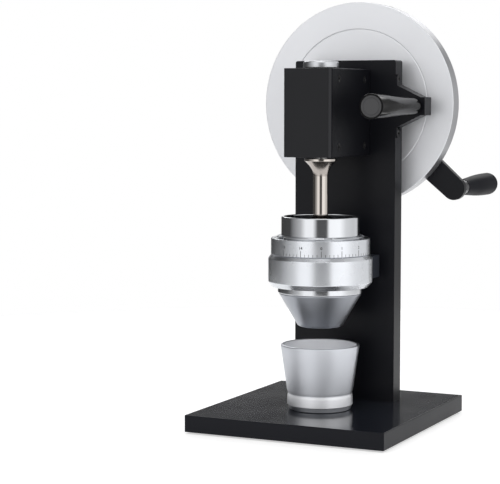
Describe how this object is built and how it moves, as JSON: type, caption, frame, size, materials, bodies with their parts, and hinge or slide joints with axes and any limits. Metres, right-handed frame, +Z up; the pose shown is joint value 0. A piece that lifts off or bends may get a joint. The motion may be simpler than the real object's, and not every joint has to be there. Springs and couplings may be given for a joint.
{
  "type": "manual coffee grinder",
  "caption": "Hand-cranked upright coffee grinder with a flywheel behind a column, a gearbox, a conical burr head with a dial ring, a side handle and a cup on a base.",
  "frame": {"origin": "centre of the rubber pad's underside, on the surface that the grinder stands on", "axes": "+Z up, -Y to the front where the cup stands, +X to the side of the fixed handle, +Y to the flywheel and its crank"},
  "size_m": [0.2299, 0.3455, 0.4535],
  "materials": {
    "rubber": "matt black",
    "black_anodised": "black anodised, satin",
    "black_plastic": "black, smooth, fairly glossy",
    "satin_aluminium": "fine turned, satin",
    "blasted_aluminium": "bead blasted, matt",
    "polished_steel": "polished",
    "machined_steel": "machined",
    "black_steel": "black oxide"
  },
  "bodies": {
    "frame": {"base_pad": "rubber", "base_plate": "black_anodised", "column": "black_anodised", "column_screw_1": "black_steel", "column_screw_2": "black_steel", "column_screw_3": "black_steel", "gearbox_housing": "black_anodised", "gearbox_cover": "black_anodised", "cover_screw_1": "black_steel", "cover_screw_2": "black_steel", "cover_screw_3": "black_steel", "cover_screw_4": "black_steel", "gearbox_bolt_1": "black_steel", "gearbox_bolt_2": "black_steel", "gearbox_bolt_3": "black_steel", "gearbox_bolt_4": "black_steel", "carrier_bolt_1": "black_steel", "carrier_bolt_2": "black_steel", "axle_front_bearing": "machined_steel", "axle_rear_bearing": "machined_steel", "spindle_lower_bearing": "machined_steel", "spindle_upper_bearing": "machined_steel", "side_handle_bracket": "black_anodised", "bracket_screw_1": "black_steel", "bracket_screw_2": "black_steel", "side_grip": "black_plastic", "side_grip_bolt": "black_steel", "side_grip_cap": "black_plastic", "carrier_arm": "black_anodised", "head_body": "blasted_aluminium", "burr_bearing": "machined_steel", "guide_pin": "machined_steel", "adjuster_keeper": "machined_steel", "neck_ring": "polished_steel", "outlet_cone": "blasted_aluminium"},
    "adjuster": {"adjuster_ring": "blasted_aluminium"},
    "burr_carrier": {"burr_holder": "satin_aluminium", "hopper_collar": "polished_steel", "ring_burr": "machined_steel", "burr_set_screw_1": "black_steel", "burr_set_screw_2": "black_steel", "burr_set_screw_3": "black_steel"},
    "wheel": {"flywheel": "satin_aluminium", "axle": "machined_steel", "axle_bevel_gear": "machined_steel", "axle_gear_pin": "machined_steel", "wheel_key": "machined_steel", "crank_arm": "black_anodised", "crank_screw_1": "black_steel", "crank_screw_2": "black_steel", "axle_nut": "machined_steel", "grip_pin": "machined_steel"},
    "crank_handle": {"crank_grip": "black_plastic", "grip_ferrule": "machined_steel"},
    "spindle": {"spindle_bevel_gear": "machined_steel", "drive_shaft": "polished_steel", "top_knob": "satin_aluminium", "cone_burr": "machined_steel", "burr_nut": "machined_steel"},
    "cup": {"cup": "blasted_aluminium"}
  },
  "joints": [
    {"name": "flywheel_spin", "type": "hinge", "parent": "frame", "child": "wheel", "pos_m": [0, 0.0881, 0.3421], "axis": [0, 1, 0], "continuous": true},
    {"name": "spindle_spin", "type": "hinge", "parent": "frame", "child": "spindle", "pos_m": [0, -0.0218, 0.3421], "axis": [0, 0, 1], "continuous": true},
    {"name": "crank_grip_spin", "type": "hinge", "parent": "wheel", "child": "crank_handle", "pos_m": [0.10566, 0.16, 0.25025], "axis": [0, 1, 0], "continuous": true},
    {"name": "adjuster_turn", "type": "hinge", "parent": "frame", "child": "adjuster", "pos_m": [0, -0.0218, 0.193], "axis": [0, 0, 1], "range_deg": [-168, 168]},
    {"name": "burr_lift", "type": "slide", "parent": "frame", "child": "burr_carrier", "axis": [0, 0, 1], "range_m": [-0.0007, 0.0007]},
    {"name": "cup_draw", "type": "slide", "parent": "frame", "child": "cup", "axis": [0, -1, 0], "range_m": [0, 0.15]}
  ],
  "couplings": [
    {"joint": "spindle_spin", "follows": "flywheel_spin", "ratio": 1},
    {"joint": "burr_lift", "follows": "adjuster_turn", "m_per_rad": -0.00023873}
  ]
}
